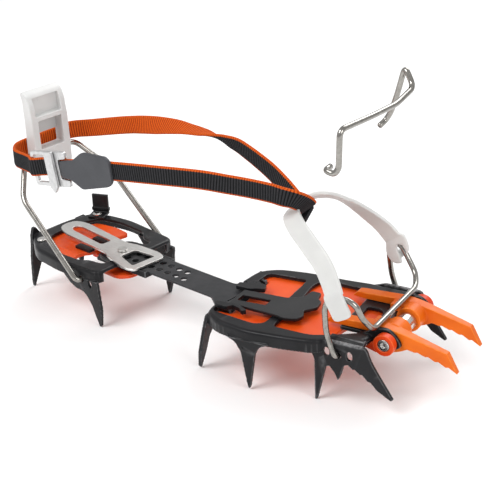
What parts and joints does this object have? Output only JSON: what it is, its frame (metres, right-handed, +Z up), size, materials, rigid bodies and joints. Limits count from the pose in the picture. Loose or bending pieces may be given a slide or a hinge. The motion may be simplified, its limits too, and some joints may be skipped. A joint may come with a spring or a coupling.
{
  "type": "crampon",
  "caption": "Adjustable boot crampon with steel points, wire toe and heel bails, heel lever, flexible toe strap, ankle webbing strap, buckle and a loose spare toe bail.",
  "frame": {"origin": "centre of the bounding box in plan, at the level of the tips that it stands on", "axes": "+X towards the toe, +Y to the left of the walking direction, +Z up"},
  "size_m": [0.3578, 0.1218, 0.1989],
  "materials": {
    "black_steel": "satin black coating on bent sheet steel",
    "orange_steel": "satin orange coating on forged steel",
    "orange_plate": "smooth orange flexible plastic",
    "black_plastic": "matte black moulded plastic",
    "steel": "satin stainless steel",
    "wire": "drawn stainless wire",
    "white_flexible": "milky white elastomer, slightly translucent",
    "white_plastic": "white moulded plastic",
    "webbing": "ribbed woven webbing, charcoal outside, orange inside and at both edges",
    "grey_rubber": "dark grey moulded rubber",
    "buckle_metal": "satin light alloy"
  },
  "bodies": {
    "front_section": {"front_frame": "black_steel", "front_anti_snow_plate": "orange_plate", "lock_plate": "black_plastic", "lock_hook_left": "black_steel", "lock_hook_right": "black_steel", "front_point_left": "orange_steel", "front_point_right": "orange_steel", "point_spacer": "steel", "point_collar_left": "orange_steel", "point_collar_right": "orange_steel", "front_point_nut": "steel"},
    "front_point_bolt": {"front_point_bolt": "steel"},
    "toe_bail": {"toe_bail": "wire"},
    "toe_strap": {"toe_strap": "white_flexible"},
    "ankle_strap": {"ankle_strap": "webbing", "strap_tab": "grey_rubber", "buckle_frame": "buckle_metal"},
    "buckle_bar": {"buckle_bar": "buckle_metal"},
    "link_bar": {"link_bar": "black_steel"},
    "heel_section": {"heel_frame": "black_steel", "heel_anti_snow_plate": "orange_plate", "heel_plate_clip_left": "black_plastic", "heel_plate_clip_right": "black_plastic", "heel_rivet_left": "steel", "heel_rivet_right": "steel", "heel_tab": "black_plastic"},
    "adjuster": {"adjuster_plate": "steel", "adjuster_stud": "steel"},
    "heel_bail": {"heel_bail": "wire"},
    "heel_lever": {"heel_lever": "white_plastic", "lever_back": "white_plastic"},
    "spare_toe_bail": {"spare_toe_bail": "wire"}
  },
  "joints": [
    {"name": "front_point_bolt_turn", "type": "hinge", "parent": "front_section", "child": "front_point_bolt", "pos_m": [0.13343, -0.00379, 0.0422], "axis": [0, 1, 0], "continuous": true},
    {"name": "toe_bail_swing", "type": "hinge", "parent": "front_section", "child": "toe_bail", "pos_m": [0.10813, -0.00379, 0.0355], "axis": [0, 1, 0], "range_deg": [-5.39, 0]},
    {"name": "toe_strap_swing", "type": "hinge", "parent": "toe_bail", "child": "toe_strap", "pos_m": [0.10903, -0.00379, 0.0672], "axis": [0, 1, 0], "range_deg": [0, 19.17]},
    {"name": "ankle_strap_turn", "type": "hinge", "parent": "toe_strap", "child": "ankle_strap", "pos_m": [0.06413, -0.00379, 0.118], "axis": [0, 1, 0], "range_deg": [-13.88, 0]},
    {"name": "buckle_tilt", "type": "hinge", "parent": "ankle_strap", "child": "buckle_bar", "pos_m": [-0.11447, -0.03222, 0.1184], "axis": [-0.1823, 0.0401, 0.9824], "range_deg": [0, 12]},
    {"name": "link_bar_rock", "type": "hinge", "parent": "front_section", "child": "link_bar", "pos_m": [0.01526, -0.01682, 0.043], "axis": [0.2147, 0.9767, 0], "range_deg": [-1, 1]},
    {"name": "length_slide", "type": "slide", "parent": "link_bar", "child": "heel_section", "axis": [0.9767, -0.2147, 0], "range_m": [0, 0.0162]},
    {"name": "adjuster_lift", "type": "hinge", "parent": "heel_section", "child": "adjuster", "pos_m": [-0.05799, -0.00072, 0.0446], "axis": [0.2147, 0.9767, 0], "range_deg": [0, 12], "stiffness_Nm_per_rad": 0.5, "springref_deg": -5.73},
    {"name": "heel_bail_swing", "type": "hinge", "parent": "heel_section", "child": "heel_bail", "pos_m": [-0.0951, 0.00744, 0.036], "axis": [0.2147, 0.9767, 0], "range_deg": [0, 7]},
    {"name": "heel_lever_turn", "type": "hinge", "parent": "heel_bail", "child": "heel_lever", "pos_m": [-0.16347, 0.02247, 0.107], "axis": [0.2147, 0.9767, 0], "range_deg": [0, 25]},
    {"name": "spare_bail_lift", "type": "slide", "parent": "front_section", "child": "spare_toe_bail", "axis": [0, 0, 1], "range_m": [0, 0.06]}
  ],
  "couplings": [
    {"joint": "toe_bail_swing", "follows": "heel_bail_swing", "ratio": -0.756},
    {"joint": "toe_strap_swing", "follows": "heel_bail_swing", "ratio": 2.724},
    {"joint": "ankle_strap_turn", "follows": "heel_bail_swing", "ratio": -1.968}
  ]
}
